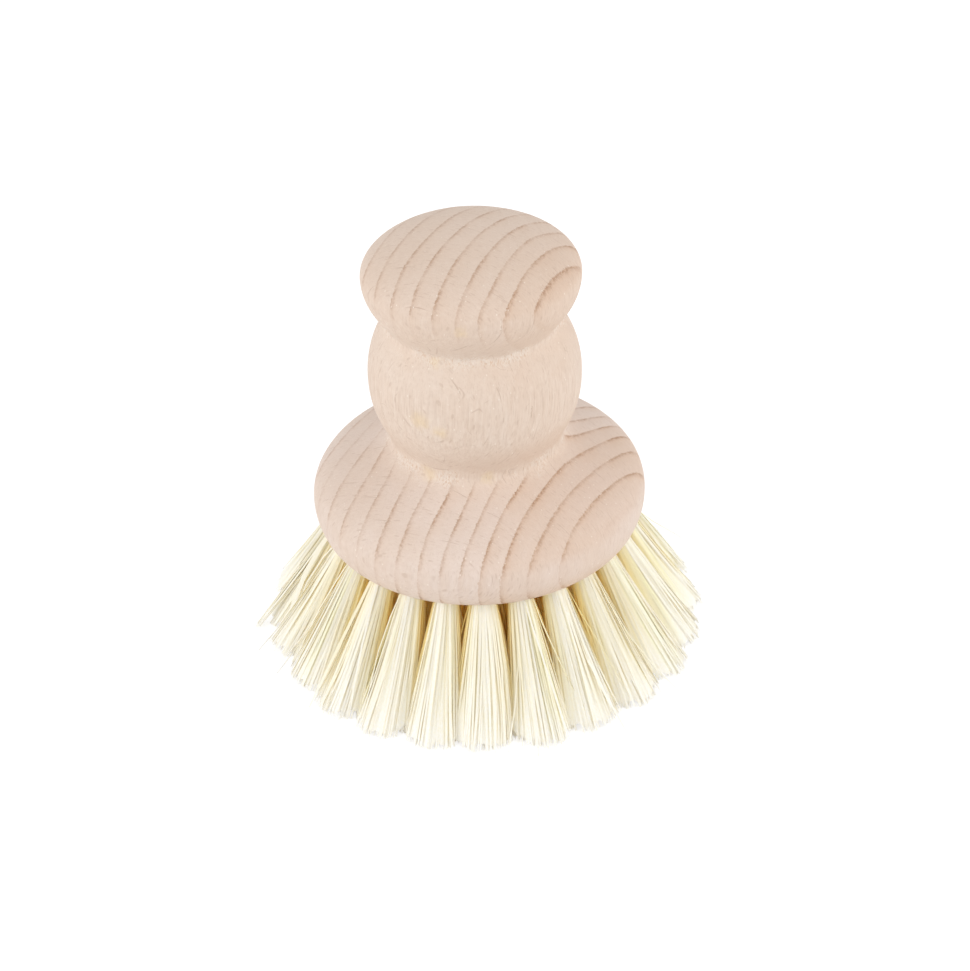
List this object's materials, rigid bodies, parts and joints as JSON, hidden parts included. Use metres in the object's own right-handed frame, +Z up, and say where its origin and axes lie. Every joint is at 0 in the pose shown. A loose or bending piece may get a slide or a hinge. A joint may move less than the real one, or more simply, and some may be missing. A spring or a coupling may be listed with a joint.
{
  "type": "pot brush",
  "caption": "Round pot brush with a turned wooden knob handle and leaning tufts of pale plant fibre trimmed flat.",
  "frame": {"origin": "on the turning axis, in the plane of the trimmed fibre ends that the brush rests on", "axes": "+Z up along the turning axis towards the knob"},
  "size_m": [0.0802, 0.0802, 0.0803],
  "materials": {
    "beech": "raw sanded beech, unvarnished, growth rings and fine flecks",
    "plant_fibre": "pale cream stiff plant fibre, matt with a faint sheen"
  },
  "bodies": {
    "root": {"handle": "beech", "tuft_centre": "plant_fibre", "tuft_inner_01": "plant_fibre", "tuft_inner_02": "plant_fibre", "tuft_inner_03": "plant_fibre", "tuft_inner_04": "plant_fibre", "tuft_inner_05": "plant_fibre", "tuft_inner_06": "plant_fibre", "tuft_inner_07": "plant_fibre", "tuft_inner_08": "plant_fibre", "tuft_middle_01": "plant_fibre", "tuft_middle_02": "plant_fibre", "tuft_middle_03": "plant_fibre", "tuft_middle_04": "plant_fibre", "tuft_middle_05": "plant_fibre", "tuft_middle_06": "plant_fibre", "tuft_middle_07": "plant_fibre", "tuft_middle_08": "plant_fibre", "tuft_middle_09": "plant_fibre", "tuft_middle_10": "plant_fibre", "tuft_middle_11": "plant_fibre", "tuft_middle_12": "plant_fibre", "tuft_middle_13": "plant_fibre", "tuft_middle_14": "plant_fibre", "tuft_middle_15": "plant_fibre", "tuft_middle_16": "plant_fibre", "tuft_outer_01": "plant_fibre", "tuft_outer_02": "plant_fibre", "tuft_outer_03": "plant_fibre", "tuft_outer_04": "plant_fibre", "tuft_outer_05": "plant_fibre", "tuft_outer_06": "plant_fibre", "tuft_outer_07": "plant_fibre", "tuft_outer_08": "plant_fibre", "tuft_outer_09": "plant_fibre", "tuft_outer_10": "plant_fibre", "tuft_outer_11": "plant_fibre", "tuft_outer_12": "plant_fibre", "tuft_outer_13": "plant_fibre", "tuft_outer_14": "plant_fibre", "tuft_outer_15": "plant_fibre", "tuft_outer_16": "plant_fibre", "tuft_outer_17": "plant_fibre", "tuft_outer_18": "plant_fibre", "tuft_outer_19": "plant_fibre", "tuft_outer_20": "plant_fibre", "tuft_outer_21": "plant_fibre", "tuft_outer_22": "plant_fibre", "tuft_outer_23": "plant_fibre", "tuft_outer_24": "plant_fibre"}
  },
  "joints": []
}
